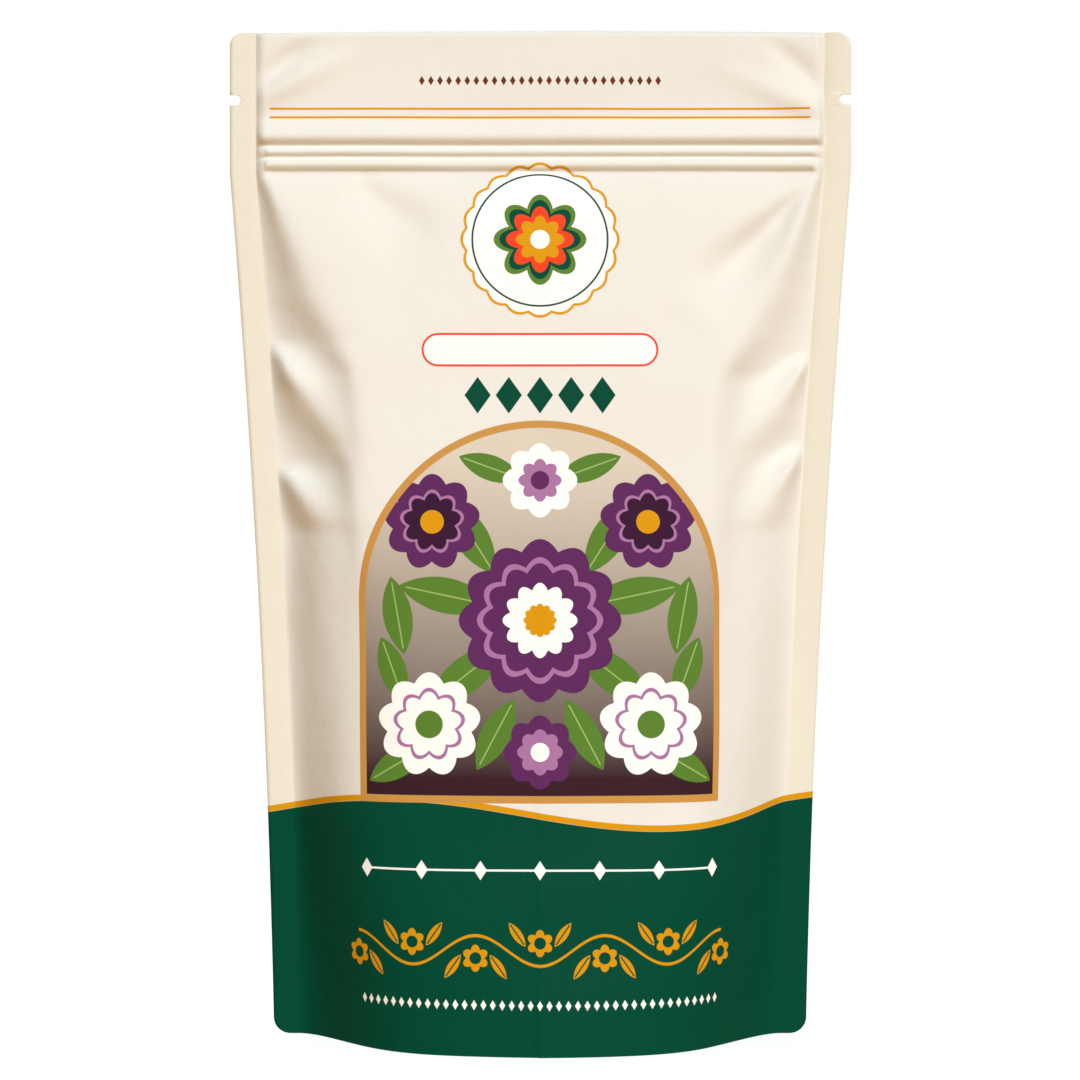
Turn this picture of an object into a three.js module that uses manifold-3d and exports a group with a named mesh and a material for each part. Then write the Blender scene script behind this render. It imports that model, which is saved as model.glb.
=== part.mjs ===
// A resealable stand-up seed pouch, filled, closed and standing on its opened gusset.
// Millimetres, +Z up: the table is z = 0, the side seals lie in the plane y = 0, the front faces -Y.
import * as THREE from "three";
import { mergeVertices } from "three/addons/utils/BufferGeometryUtils.js";
import Module from "manifold-3d";

// Pouch outline
const FLAT_WIDTH = 130; // lay-flat width, kept from the zip to the top
const HEIGHT = 210; // table to the top edge at the middle
const TOP_CROWN = 0.5; // drop of the top edge towards its corners
const BASE_WIDTH = 111.4; // width at the table once the base has opened
const NARROWING = 0.6; // 0 draws the sides in evenly, more draws them in just below the zip
const SIDE_SEAL = 5.45; // flat welded band along each side
const TOP_RADIUS = 2.7;
const BASE_RADIUS = 3.4;

// Film
const FILM = 0.3; // thickness of one film
const GAP = 0.3; // air between neighbouring films
const BELLY = 26.25; // how far each panel would bulge at the table without its flanks
const BELLY_RISE = 0.7; // under 1 fills the pouch out early below the zip
const HEADER_PUFF = 0.7; // how far each panel stands off above the zip

// Tear notches and zip, measured down from the top edge
const NOTCH_DROP = 14.4;
const NOTCH_DEPTH = 2.3;
const NOTCH_HEIGHT = 2.2;
const ROLL_TOP = 18.2; // the soft roll above the zip begins
const ZIP_TOP = 23.65; // crease under the roll
const ZIP_MIDDLE = 26.2; // crease between the two tracks
const ZIP_LOW = 29.3; // crease under the zip
const ROLL_HEIGHT = 0.6;
const TRACK_RELIEF = 0.4; // ridge each track pushes into the film
const ZIP_PUFF = 1.25; // how far each panel stands off over the zip
const ZIP_LENGTH = 113;
const TOP_SEAL = 1.6; // the panels part over this height below the top edge
const SEAL_STEP = 0.9; // and over this width beside a seal, above the zip
const STEP_END = 5; // below the zip that step soon gives way to the folds
const ZIP_FADE = 60; // and the stand-off runs out over this height

// Gusset and contents
const GUSSET = 35; // depth of the bottom fold
const GUSSET_WELD = 6; // height of the base weld at the middle
const WELD_RISE = 4; // power of the way out to the seals by which the base weld climbs
const WELD_END = 0.6; // the weld ends this far below the top of the fold
const FLOOR_LIFT = 1.2; // the gusset's middle above the table
const FLOOR_RISE = 2.5; // power by which that middle climbs
const GUSSET_END = 5; // height over which the panels close in above the fold
const SEED_LEVEL = 118; // seeds reach this height
const SEED_CLEARANCE = 2.2;
const SEED_REACH = 0.8; // share of the way out to the seals that they fill
const SEED_PITCH = 4.4; // spacing of the raised seeds on the heap
const SEED_RELIEF = 1.1;
const HEAP_CROWN = 5; // the heap is this much higher at its middle

// Folds. A ridge runs from a node on a side seal down into the panel, as points of height, distance in
// from the seal, how hollow the film hangs behind it (1 is flat) and how sharp it is. At each node, by
// place across and height, a fan of film between two angles below the level leads to the next ridge.
const FLANK = [[90, 9.4, 2, 1.5], [60, 10.2, 2, 1.5], [30, 12.6, 2, 1.5], [0, 17, 2, 1.5]];
const FRONT_FOLDS = {
  left: {
    ridges: [
      [[180.7, 1.2, 1.3, 4], [174, 3.4, 1.3, 4], [165.5, 6.2, 1.3, 4], [153, 10.2, 1.4, 4],
        [144.5, 14.6, 1.8, 5], [138, 17.4, 2.3, 12], [120, 19, 2.3, 12]],
      [[150, 2, 1.5, 4], [143, 2.3, 1.5, 4], [137, 4.8, 1.4, 4], [131, 9.2, 1.4, 4],
        [123, 14.6, 1.8, 6], [117.7, 16.4, 2.2, 12], [100, 17, 2.2, 12]],
      [[123, 2.4, 1.5, 3], [117.5, 2.7, 1.5, 3], [112, 6, 1.6, 2.4], [105, 9.8, 1.9, 1.6], ...FLANK],
    ],
    nodes: [[56.8, 143.5, 0, 60], [54.9, 117.6, -6, 58]],
  },
  right: {
    ridges: [
      [[180.7, 1.2, 1.3, 4], [174, 3.2, 1.3, 4], [165.5, 5.7, 1.3, 4], [153, 10.6, 1.4, 4],
        [144.5, 14.2, 1.8, 5], [137, 18.6, 2.3, 8], [120, 20, 2.3, 8]],
      [[146, 2, 1.5, 4], [138.7, 2.3, 1.5, 4], [127.8, 9.2, 1.5, 4], [121.5, 14.8, 1.8, 5],
        [113, 17.4, 2.3, 8], [100, 18, 2.3, 8]],
      [[126, 2.4, 1.5, 3], [119.2, 2.7, 1.5, 3], [112, 7, 1.6, 2.4], [105, 10, 1.9, 1.6], ...FLANK],
    ],
    nodes: [[56.6, 142.5, 10, 66], [55.1, 122, 10, 66]],
  },
};
const BACK_FOLDS = {
  left: {
    ridges: [
      [[180.7, 1.2, 1.3, 4], [170, 5.2, 1.3, 4], [158, 10, 1.4, 4], [147, 14.5, 1.8, 5],
        [139, 17, 2.4, 10], [120, 19, 2.4, 10]],
      [[145, 2, 1.5, 4], [138, 2.4, 1.5, 4], [126, 9, 1.5, 4], [113, 15, 2.2, 9], [95, 16, 2.2, 9]],
      [[120, 2.2, 1.5, 3], [113, 2.6, 1.5, 3], [104, 7.2, 1.8, 1.8], ...FLANK],
    ],
    nodes: [[56.4, 140, 8, 57], [54.6, 114, 4, 56]],
  },
  right: {
    ridges: [
      [[180.7, 1.2, 1.3, 4], [168, 6.2, 1.3, 4], [154, 12, 1.4, 4], [146, 16.2, 1.9, 5],
        [138, 17.5, 2.4, 10], [120, 19, 2.4, 10]],
      [[150, 2, 1.5, 4], [143, 2.4, 1.5, 4], [130, 9.6, 1.5, 4], [120, 14.8, 2.2, 9], [100, 16, 2.2, 9]],
      [[124, 2.2, 1.5, 3], [117, 2.6, 1.5, 3], [107, 7.2, 1.8, 1.8], ...FLANK],
    ],
    nodes: [[56.9, 144, 6, 56], [54.9, 118, 0, 54]],
  },
};
const FOLDS_LOW = 92; // the folds end at this height
const FOLDS_HIGH = 150;
const NODE_REACH = 3; // a fan opens from this far behind its node, so that the node stays round

const ZIP_Z = HEIGHT - ZIP_LOW;
const { clamp, lerp, mapLinear, radToDeg, smoothstep } = THREE.MathUtils;

const wasm = await Module();
wasm.setup();

// Half width of the pouch between its outer edges at height z
function halfWidth(z) {
  const h = clamp((ZIP_Z - z) / ZIP_Z, 0, 1);
  return FLAT_WIDTH / 2 - ((FLAT_WIDTH - BASE_WIDTH) / 2) * h * (1 + NARROWING * (1 - h));
}

// A column s runs from -1 to 1 between the seals; beyond that it is the outer edge of a seal
function columnX(s, z) {
  const half = halfWidth(z);
  return Math.abs(s) > 1 ? Math.sign(s) * half : s * (half - SIDE_SEAL);
}

// One value of a ridge at height z, straight between its points, which run from the top down
function ridgeAt(ridge, z, value) {
  const next = ridge.findIndex((point) => point[0] <= z);
  if (next === 0) return ridge[0][value];
  if (next < 0) return ridge.at(-1)[value];
  const above = ridge[next - 1];
  const below = ridge[next];
  return mapLinear(z, above[0], below[0], above[value], below[value]);
}

// Share of the belly's depth at a distance in from a side seal: a power of the way to a ridge, then level
function flankShare(inset, x, z, side) {
  const shares = side.ridges.map((ridge) => {
    const [reach, hollow, sharp] = [1, 2, 3].map((value) => ridgeAt(ridge, z, value));
    const way = inset / reach;
    return way ** hollow / (1 + way ** (hollow * sharp)) ** (1 / sharp);
  });
  return side.nodes.reduce((share, [across, height, first, last], k) => {
    const angle = radToDeg(Math.atan2(height - z, Math.max(across - Math.abs(x), 0) + NODE_REACH));
    const turned = (clamp((angle - first) / (last - first), 0, 1) + smoothstep(angle, first, last)) / 2;
    return lerp(share, shares[k + 1], turned);
  }, shares[0]);
}

// Rolls and tracks across the zip: an arch between each pair of creases
function zipRelief(down) {
  const arch = (from, to) => Math.sin(Math.PI * clamp((down - from) / (to - from), 0, 1));
  return ROLL_HEIGHT * arch(ROLL_TOP, ZIP_TOP)
    + TRACK_RELIEF * (arch(ZIP_TOP, ZIP_MIDDLE) + arch(ZIP_MIDDLE, ZIP_LOW));
}

// Distance of a panel's inner face from the plane of the seals, at column s and height z
function innerDepth(s, z, folds) {
  const inset = (1 - Math.min(1, Math.abs(s))) * (halfWidth(z) - SIDE_SEAL);
  const down = HEIGHT - z;
  const h = clamp((ZIP_Z - z) / ZIP_Z, 0, 1);
  const layers = GAP / 2 + (FILM + GAP) * (1 - smoothstep(z, GUSSET, GUSSET + GUSSET_END));
  const share = flankShare(inset, columnX(clamp(s, -1, 1), z), z, s < 0 ? folds.left : folds.right);
  const header = HEADER_PUFF * smoothstep(down, 0, TOP_SEAL);
  const zip = (ZIP_PUFF - HEADER_PUFF) * smoothstep(down, ROLL_TOP, ZIP_TOP);
  const step = lerp(smoothstep(inset, 0, SEAL_STEP), share, smoothstep(down, ZIP_LOW, ZIP_LOW + STEP_END));
  const fade = 1 - smoothstep(down, ZIP_LOW, ZIP_LOW + ZIP_FADE);
  return layers + BELLY * h ** BELLY_RISE * share + (header + zip + zipRelief(down)) * step * fade;
}

// Closed thin solid from two matching grids of points, split into triangles alike on both faces, along
// the folds: in and down from the nearer side
function sheet(near, far) {
  const rows = near.length;
  const columns = near[0].length;
  const points = [...near.flat(), ...far.flat()];
  const at = (face, j, i) => (face * rows + j) * columns + i;
  const index = [];
  const quad = (a, b, c, d) => index.push(a, b, c, a, c, d);
  for (let j = 0; j + 1 < rows; j++) {
    for (let i = 0; i + 1 < columns; i++) {
      const first = 2 * i + 1 < columns ? 1 : 0;
      const corners = [[j, i], [j, i + 1], [j + 1, i + 1], [j + 1, i], [j, i]].slice(first, first + 4);
      const [a, b, c, d] = corners.map((corner) => at(0, ...corner));
      const [e, f, g, h] = corners.map((corner) => at(1, ...corner));
      quad(a, b, c, d);
      quad(e, h, g, f);
    }
    quad(at(0, j, 0), at(0, j + 1, 0), at(1, j + 1, 0), at(1, j, 0));
    quad(at(0, j + 1, columns - 1), at(0, j, columns - 1), at(1, j, columns - 1), at(1, j + 1, columns - 1));
  }
  for (let i = 0; i + 1 < columns; i++) {
    quad(at(0, 0, i + 1), at(0, 0, i), at(1, 0, i), at(1, 0, i + 1));
    quad(at(0, rows - 1, i), at(0, rows - 1, i + 1), at(1, rows - 1, i + 1), at(1, rows - 1, i));
  }
  const geometry = new THREE.BufferGeometry().setFromPoints(points);
  geometry.setIndex(index);
  return geometry;
}

function toManifold(geometry) {
  const vertProperties = new Float32Array(geometry.attributes.position.array);
  const triVerts = new Uint32Array(geometry.index.array);
  return new wasm.Manifold(new wasm.Mesh({ numProp: 3, vertProperties, triVerts }));
}

function toGeometry(solid) {
  const mesh = solid.getMesh();
  const geometry = new THREE.BufferGeometry();
  geometry.setAttribute("position", new THREE.BufferAttribute(new Float32Array(mesh.vertProperties), 3));
  geometry.setIndex(new THREE.BufferAttribute(new Uint32Array(mesh.triVerts), 1));
  return geometry;
}

// Prism through both panels over an outline drawn in the plane of the seals, as a cutting tool
function cutter(points) {
  const depth = 4 * BELLY;
  const geometry = new THREE.ExtrudeGeometry(new THREE.Shape(points), { depth, bevelEnabled: false });
  geometry.deleteAttribute("normal");
  geometry.deleteAttribute("uv");
  geometry.rotateX(Math.PI / 2).translate(0, depth / 2, 0);
  return toManifold(mergeVertices(geometry));
}

// Waste outside a rounded corner; upward is 1 at the top edge and -1 at the base
function cornerTool(side, level, upward, radius) {
  const place = (dx, dz) => new THREE.Vector2(side * (halfWidth(level) + dx), level + upward * dz);
  const points = [place(1, -radius), place(1, 1), place(-radius, 1)];
  for (let k = 0; k <= 6; k++) {
    const angle = (Math.PI / 2) * (1 - k / 6);
    points.push(place(radius * (Math.cos(angle) - 1), radius * (Math.sin(angle) - 1)));
  }
  return cutter(points);
}

// Round-ended tear notch cut in from a side edge
function notchTool(side) {
  const level = HEIGHT - NOTCH_DROP;
  const radius = NOTCH_HEIGHT / 2;
  const place = (dx, dz) => new THREE.Vector2(side * (FLAT_WIDTH / 2 + dx), level + dz);
  const points = [place(1, radius), place(1, -radius)];
  for (let k = 0; k <= 8; k++) {
    const angle = Math.PI * (1.5 - k / 8);
    points.push(place(radius - NOTCH_DEPTH + radius * Math.cos(angle), radius * Math.sin(angle)));
  }
  return cutter(points);
}

const spread = (from, to, count) => Array.from({ length: count }, (_, k) => from + ((to - from) * k) / count);

const HALF_COLUMNS = 13;
const columns = [
  -2,
  ...spread(-HALF_COLUMNS, HALF_COLUMNS + 1, 2 * HALF_COLUMNS + 1)
    .map((k) => Math.sin((Math.PI / 2) * (k / HALF_COLUMNS))),
  2,
];
const rows = [
  ...spread(0, FOLDS_LOW, 8),
  ...spread(FOLDS_LOW, FOLDS_HIGH, 18),
  ...spread(FOLDS_HIGH, ZIP_Z, 6),
  ...spread(HEIGHT - ZIP_LOW, HEIGHT - ZIP_MIDDLE, 3),
  ...spread(HEIGHT - ZIP_MIDDLE, HEIGHT - ZIP_TOP, 3),
  ...spread(HEIGHT - ZIP_TOP, HEIGHT - ROLL_TOP, 4),
  ...spread(HEIGHT - ROLL_TOP, HEIGHT - TOP_SEAL, 4),
  ...spread(HEIGHT - TOP_SEAL, HEIGHT, 2),
  HEIGHT,
];

// One face of a panel: facing is -1 for the front and 1 for the back, offset is out from the inner face
function panelFace(facing, folds, offset) {
  return rows.map((z) => columns.map((s) => {
    const x = columnX(s, z);
    const crown = TOP_CROWN * (x / (FLAT_WIDTH / 2)) ** 2 * clamp((z - HEIGHT + ROLL_TOP) / ROLL_TOP, 0, 1);
    const normal = new THREE.Vector2(0, 1);
    if (Math.abs(s) < 0.999) {
      const rise = innerDepth(s + 1e-3, z, folds) - innerDepth(s - 1e-3, z, folds);
      normal.set(-rise / (columnX(s + 1e-3, z) - columnX(s - 1e-3, z)), 1).normalize();
    }
    const depth = innerDepth(s, z, folds) + normal.y * offset;
    return new THREE.Vector3(x + normal.x * offset, facing * depth, z - crown);
  }));
}

function panel(facing, folds) {
  const inner = panelFace(facing, folds, 0);
  const outer = panelFace(facing, folds, FILM);
  let solid = toManifold(facing < 0 ? sheet(outer, inner) : sheet(inner, outer));
  for (const side of [-1, 1]) {
    solid = solid.subtract(notchTool(side));
    solid = solid.subtract(cornerTool(side, HEIGHT - TOP_CROWN, 1, TOP_RADIUS));
    solid = solid.subtract(cornerTool(side, 0, -1, BASE_RADIUS));
  }
  return toGeometry(solid);
}

// Height of the gusset over the table at column s, b from -1 at the front weld to 1 at the back weld
function gussetHeight(s, b) {
  const t = Math.min(1, Math.abs(s));
  const weld = GUSSET_WELD + (GUSSET - WELD_END - GUSSET_WELD) * t ** WELD_RISE;
  const middle = FLOOR_LIFT + (GUSSET - FLOOR_LIFT) * t ** FLOOR_RISE;
  return weld + (middle - weld) * (1 - b * b);
}

// The gusset climbs the front weld, crosses to the back and comes down the back weld
function bottomGusset() {
  const path = (s) => {
    const weld = gussetHeight(s, 1);
    const reach = (z) => innerDepth(s, z, FRONT_FOLDS) - GAP - FILM / 2;
    const front = [0, weld / 2].map((z) => new THREE.Vector2(-reach(z), z));
    const floor = [-1, -0.75, -0.45, -0.15, 0.15, 0.45, 0.75, 1].map(
      (b) => new THREE.Vector2(b * reach(weld), gussetHeight(s, b)));
    const back = front.toReversed().map((point) => new THREE.Vector2(-point.x, point.y));
    return [...front, ...floor, ...back];
  };
  const faces = [1, -1].map((side) => {
    const strips = columns.map((s) => {
      const line = path(s);
      return line.map((point, j) => {
        const before = line[Math.max(0, j - 1)];
        const after = line[Math.min(line.length - 1, j + 1)];
        const along = after.clone().sub(before).normalize();
        if (j === 0) along.set(0, 1);
        if (j === line.length - 1) along.set(0, -1);
        const y = point.x - (side * along.y * FILM) / 2;
        const z = point.y + (side * along.x * FILM) / 2;
        return new THREE.Vector3(columnX(s, point.y), y, z);
      });
    });
    return strips[0].map((_, j) => strips.map((strip) => strip[j]));
  });
  let solid = toManifold(sheet(faces[0], faces[1]));
  for (const side of [-1, 1]) solid = solid.subtract(cornerTool(side, 0, -1, BASE_RADIUS));
  return toGeometry(solid);
}

// Zip strips: profiles in (y, z) drawn along X. Ribs on the front strip snap into jaws on the back one
const STRIP = { wall: 0.3, margin: 0.2 }; // thickness, and space left at the outer creases
const TRACKS = [(ZIP_MIDDLE + ZIP_LOW) / 2, (ZIP_TOP + ZIP_MIDDLE) / 2].map((down) => HEIGHT - down);
const STRIP_LOW = HEIGHT - ZIP_LOW + STRIP.margin;
const STRIP_HIGH = HEIGHT - ZIP_TOP - STRIP.margin;
const STRIP_OUT = ZIP_PUFF + GAP / 2 - GAP;
const STRIP_IN = STRIP_OUT - STRIP.wall;
const RIB = { stem: 0.15, barb: 0.5, tip: 0.15, from: -0.1, to: 0.6 };
const JAW = { mouth: 0.35, inside: 0.7, outside: 1, lipFront: -0.6, lipBack: -0.3 };

function strip(profile) {
  const shape = new THREE.Shape(profile.map(([y, z]) => new THREE.Vector2(y, z)));
  const geometry = new THREE.ExtrudeGeometry(shape, { depth: ZIP_LENGTH, bevelEnabled: false });
  const axes = [new THREE.Vector3(0, 1, 0), new THREE.Vector3(0, 0, 1), new THREE.Vector3(1, 0, 0)];
  return geometry.applyMatrix4(new THREE.Matrix4().makeBasis(...axes)).translate(-ZIP_LENGTH / 2, 0, 0);
}

function ribProfile() {
  const ribs = TRACKS.flatMap((z) => [
    [-STRIP_IN, z - RIB.stem], [RIB.from, z - RIB.stem], [RIB.from, z - RIB.barb], [RIB.to, z - RIB.tip],
    [RIB.to, z + RIB.tip], [RIB.from, z + RIB.barb], [RIB.from, z + RIB.stem], [-STRIP_IN, z + RIB.stem],
  ]);
  return [
    [-STRIP_OUT, STRIP_LOW], [-STRIP_IN, STRIP_LOW], ...ribs,
    [-STRIP_IN, STRIP_HIGH], [-STRIP_OUT, STRIP_HIGH],
  ];
}

function jawProfile() {
  const jaws = TRACKS.toReversed().flatMap((z) => [
    [STRIP_IN, z + JAW.outside], [JAW.lipFront, z + JAW.outside], [JAW.lipFront, z + JAW.mouth],
    [JAW.lipBack, z + JAW.mouth], [JAW.lipBack, z + JAW.inside], [STRIP_IN, z + JAW.inside],
    [STRIP_IN, z - JAW.inside], [JAW.lipBack, z - JAW.inside], [JAW.lipBack, z - JAW.mouth],
    [JAW.lipFront, z - JAW.mouth], [JAW.lipFront, z - JAW.outside], [STRIP_IN, z - JAW.outside],
  ]);
  return [
    [STRIP_OUT, STRIP_LOW], [STRIP_OUT, STRIP_HIGH], [STRIP_IN, STRIP_HIGH], ...jaws, [STRIP_IN, STRIP_LOW],
  ];
}

// The heap of seeds: a block fitted to the inside of the pouch, its top raised into seeds
function seedFill() {
  const block = new THREE.BoxGeometry(2, 2, 2, 32, 12, 8);
  block.deleteAttribute("normal");
  block.deleteAttribute("uv");
  const geometry = mergeVertices(block);
  const position = geometry.attributes.position;
  for (let k = 0; k < position.count; k++) {
    const s = SEED_REACH * position.getX(k);
    const b = position.getY(k);
    const c = (position.getZ(k) + 1) / 2;
    const folds = b < 0 ? FRONT_FOLDS : BACK_FOLDS;
    const floor = gussetHeight(s, b) + SEED_CLEARANCE;
    const inside = (z) => innerDepth(s, z, folds) - SEED_CLEARANCE;
    const wave = (v) => Math.cos((2 * Math.PI * v) / SEED_PITCH);
    const seeds = SEED_RELIEF * wave(columnX(s, SEED_LEVEL)) * wave(b * inside(SEED_LEVEL));
    const crown = HEAP_CROWN * (1 - s * s) * (1 - 0.5 * b * b);
    const z = floor + c * (SEED_LEVEL + crown - floor) + (c === 1 ? seeds : 0);
    position.setXYZ(k, columnX(s, z), b * inside(z), z);
  }
  return geometry;
}

const surface = (name, color, roughness) => new THREE.MeshStandardMaterial({ name, color, roughness });
const printedFilm = surface("printed_film", "#f3e7d3", 0.45);
const baseFilm = surface("base_film", "#0b4a37", 0.45);
const zipPlastic = surface("zip_plastic", "#f4f2ec", 0.35);
const seedCoat = surface("seed_coat", "#6b4630", 0.7);

const pouch = new THREE.Group();
function addPiece(name, geometry, material) {
  geometry.computeVertexNormals();
  const mesh = new THREE.Mesh(geometry, material);
  mesh.name = name;
  pouch.add(mesh);
}

addPiece("front_panel", panel(-1, FRONT_FOLDS), printedFilm);
addPiece("back_panel", panel(1, BACK_FOLDS), printedFilm);
addPiece("bottom_gusset", bottomGusset(), baseFilm);
addPiece("zip_rib_strip", strip(ribProfile()), zipPlastic);
addPiece("zip_jaw_strip", strip(jawProfile()), zipPlastic);
addPiece("seed_fill", seedFill(), seedCoat);

export default pouch;
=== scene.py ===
import bpy
import numpy as np
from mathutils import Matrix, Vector


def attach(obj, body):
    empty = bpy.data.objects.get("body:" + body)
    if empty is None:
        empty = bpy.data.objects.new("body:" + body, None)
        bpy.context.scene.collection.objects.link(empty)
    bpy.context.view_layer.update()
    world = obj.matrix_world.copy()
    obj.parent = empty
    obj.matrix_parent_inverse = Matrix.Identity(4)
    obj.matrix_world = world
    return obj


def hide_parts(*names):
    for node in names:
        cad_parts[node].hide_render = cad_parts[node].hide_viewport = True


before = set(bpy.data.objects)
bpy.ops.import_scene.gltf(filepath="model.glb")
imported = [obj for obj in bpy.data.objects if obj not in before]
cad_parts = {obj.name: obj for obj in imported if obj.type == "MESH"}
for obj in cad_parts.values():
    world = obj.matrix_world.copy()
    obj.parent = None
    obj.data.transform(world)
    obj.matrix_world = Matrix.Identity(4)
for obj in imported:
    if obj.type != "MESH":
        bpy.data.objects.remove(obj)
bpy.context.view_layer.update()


# Front panel.
# A sheet of reverse-printed laminate about 0.13 mm thick, welded to the back panel along two
# flat side bands and a thin line at the top, and bulged by the seeds below the zip. All in mm.
FLAT_WIDTH, HEIGHT = 130.0, 210.0
BASE_WIDTH, NARROWING = 111.4, 0.6
SIDE_SEAL, FILM, GUSSET = 5.45, 0.13, 35.0
TOP_RADIUS, BASE_RADIUS = 2.7, 3.4
NOTCH_DROP, NOTCH_DEPTH, NOTCH_HALF = 14.4, 2.3, 1.1

# Creases, as distances down from the top edge: the roll above the zip, and the zip's two tracks.
ROLL_TOP, ZIP_TOP, ZIP_MIDDLE, ZIP_LOW = 18.2, 24.4, 26.85, 29.9
ZIP_Z = HEIGHT - ZIP_LOW

# A fold's ridge runs from a node at a side seal down into the panel: at each height, its distance in
# from the seal, how hollow the film hangs behind it (1 is flat) and how sharp the ridge is.
# At each node, as (place across, height, two angles), a fan of film between those angles in degrees
# below the level hands over to the next ridge. Below the folds the flank runs on as open film.
FLANK = [(90, 11.0, 1.5, 1.5), (60, 11.8, 1.45, 1.5), (30, 15.0, 1.45, 1.75), (0, 20.0, 1.5, 2)]
FRONT_LEFT = {
    "ridges": [[(180.7, 1.2, 1.3, 4), (174, 3.4, 1.3, 4), (165.5, 6.2, 1.3, 4), (153, 10.2, 1.4, 4),
                (144.5, 14.6, 1.8, 5), (138, 17.4, 2.3, 12), (120, 19, 2.3, 12)],
               [(150, 2.0, 1.5, 4), (143, 2.3, 1.5, 4), (137, 4.8, 1.4, 4), (131, 9.2, 1.4, 4),
                (123, 14.6, 1.8, 6), (117.7, 16.4, 2.2, 12), (100, 17, 2.2, 12)],
               [(123, 2.4, 1.5, 3), (117.5, 2.7, 1.5, 3), (112, 6.0, 1.6, 2.4), (105, 9.8, 1.9, 1.6),
                *FLANK]],
    "nodes": [(58.4, 143.9, -6, 72), (56.5, 118.0, -10, 70)]}
FRONT_RIGHT = {
    "ridges": [[(180.7, 1.2, 1.3, 4), (174, 3.2, 1.3, 4), (165.5, 5.7, 1.3, 4), (153, 10.6, 1.4, 4),
                (144.5, 14.2, 1.8, 5), (137, 18.6, 2.3, 8), (120, 20, 2.3, 8)],
               [(146, 2.0, 1.5, 4), (138.7, 2.3, 1.5, 4), (127.8, 9.2, 1.5, 4), (121.5, 14.8, 1.8, 5),
                (113, 17.4, 2.3, 8), (100, 18, 2.3, 8)],
               [(126, 2.4, 1.5, 3), (119.2, 2.7, 1.5, 3), (112, 7.0, 1.6, 2.4), (105, 10.0, 1.9, 1.6),
                *FLANK]],
    "nodes": [(58.4, 143.6, 24, 84), (57.0, 124.6, 24, 84)]}
NODE_CLEAR = 0.01


def ramp(start, end, value):
    """Goes smoothly from 0 at start to 1 at end: 3t^2 - 2t^3 of the share t of the way."""
    t = np.clip((value - start) / (end - start), 0, 1)
    return t * t * (3 - 2 * t)


def half_width(z):
    """Half the width between the outer edges: flat above the zip, drawn in below by
    h (1 + NARROWING (1 - h)) of the loss at the table, h being the share of the way down."""
    h = np.clip((ZIP_Z - z) / ZIP_Z, 0, 1)
    return (FLAT_WIDTH - (FLAT_WIDTH - BASE_WIDTH) * h * (1 + NARROWING * (1 - h))) / 2


def cut_edge(z):
    """The die-cut outline: the half width less the round corners and the round-ended notches.
    A corner takes off r - sqrt(r^2 - d^2) where the height is d past the arc's centre."""
    top = np.clip(z - (HEIGHT - TOP_RADIUS), 0, TOP_RADIUS)
    base = np.clip(BASE_RADIUS - z, 0, BASE_RADIUS)
    corners = TOP_RADIUS - np.sqrt(TOP_RADIUS**2 - top**2)
    corners = corners + BASE_RADIUS - np.sqrt(BASE_RADIUS**2 - base**2)
    off = np.abs(z - (HEIGHT - NOTCH_DROP))
    arc = np.sqrt(np.clip(NOTCH_HALF**2 - off**2, 0, None))
    return half_width(z) - corners - np.where(off < NOTCH_HALF, NOTCH_DEPTH - NOTCH_HALF + arc, 0)


def flank_share(inset, x, z, ridges, nodes):
    """Share of the belly's full depth at a distance in from a side seal: up to a ridge a power of the
    share q of the way there, then level, joined by a power mean. Round each node a fan of film,
    half straight and half smooth in its angle, hands over from one ridge to the next."""
    shares = []
    for ridge in ridges:
        heights, *values = np.array(ridge)[::-1].T
        reach, lift, crisp = (np.interp(z, heights, value) for value in values)
        q = np.clip(inset, 0, None) / reach
        shares.append(q**lift / (1 + q ** (lift * crisp)) ** (1 / crisp))
    share = shares[0]
    for (across, height, first, last), following in zip(nodes, shares[1:]):
        angle = np.degrees(np.arctan2(height - z, np.maximum(across - np.abs(x), NODE_CLEAR)))
        turned = (np.clip((angle - first) / (last - first), 0, 1) + ramp(first, last, angle)) / 2
        share = share + (following - share) * turned
    return share


# Arches of the roll and the two tracks, as (crease above, crease below, height out, lean).
ARCHES = [(ROLL_TOP, ZIP_TOP, 1.8, 1.85), (ZIP_TOP, ZIP_MIDDLE, 1.25, 1.1),
          (ZIP_MIDDLE, ZIP_LOW, 1.55, 1.0)]


def zip_relief(down):
    """The roll above the zip and the two tracks: between each pair of creases a half sine arch,
    sin(pi t^lean) at the share t of the way, which hangs lower the more it leans."""
    share = lambda start, end: np.clip((down - start) / (end - start), 0, 1)
    return sum(high * np.sin(np.pi * share(start, end) ** lean) for start, end, high, lean in ARCHES)


# The header's slack, measured in from a line beside each seal. A ridge or dip has its height at that
# line, its climb for each mm inward, its half width, and the middle and half length of its fading.
WAVE_START = 57
LEFT_HIGH, RIGHT_HIGH = 1.3, 1.0
LEFT_RIDGE, RIGHT_RIDGE, RIDGE = 197.0, 193.5, (0.42, 3.0, 4, 12)
DIP_HEIGHT, DIP = 200.0, (0.9, 3.4, 3, 8)


def header_waves(x, z):
    """Slack in the header: beside each seal a low ridge that runs inward and up, and a steeper dip over
    it. Each is a bell curve across its line, exp(-d^2), times another along it."""
    inward = WAVE_START - np.abs(x)

    def bell(height, climb, half, middle, length):
        """exp(-a^2 - b^2), a being the share of the half width and b of the half length."""
        return np.exp(-((z - height - climb * inward) / half) ** 2 - ((inward - middle) / length) ** 2)

    ridge = bell(np.where(x < 0, LEFT_RIDGE, RIGHT_RIDGE), *RIDGE)
    return np.where(x < 0, LEFT_HIGH, RIGHT_HIGH) * (ridge - bell(DIP_HEIGHT, *DIP))


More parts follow.
